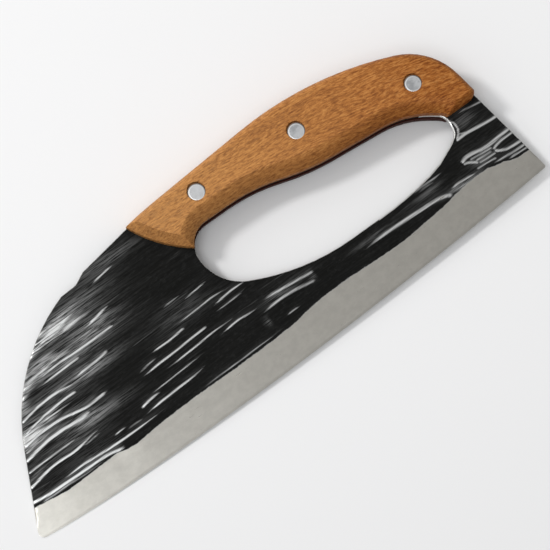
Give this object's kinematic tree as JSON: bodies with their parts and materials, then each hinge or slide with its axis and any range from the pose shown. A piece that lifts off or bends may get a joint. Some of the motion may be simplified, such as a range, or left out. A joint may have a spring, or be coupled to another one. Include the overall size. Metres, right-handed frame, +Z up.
{
  "type": "chinese cleaver",
  "caption": "Forged steel kitchen cleaver with a rounded nose and ground bevel, a finger loop cut through the blade, and a riveted wooden grip over its full tang.",
  "frame": {"origin": "middle of the footprint on the table that the knife lies on, under the centre of its bounding box", "axes": "+X along the cutting edge from tip to heel, +Y across the blade from the edge to the grip, +Z up from the table. The blade leans about 6 degrees out of level, because it rests on its tip and on the rear scale."},
  "size_m": [0.2686, 0.0962, 0.0219],
  "materials": {
    "forged_steel": "black forge skin with bright hammered ridges, and a satin bevel ground bare along the edge",
    "grip_wood": "oiled reddish-brown hardwood with a fine grain along the grip",
    "rivet_steel": "ground flush and polished"
  },
  "bodies": {
    "root": {"blade": "forged_steel", "front_scale": "grip_wood", "rear_scale": "grip_wood", "fore_rivet_female": "rivet_steel", "fore_rivet_male": "rivet_steel", "middle_rivet_female": "rivet_steel", "middle_rivet_male": "rivet_steel", "butt_rivet_female": "rivet_steel", "butt_rivet_male": "rivet_steel"}
  },
  "joints": []
}
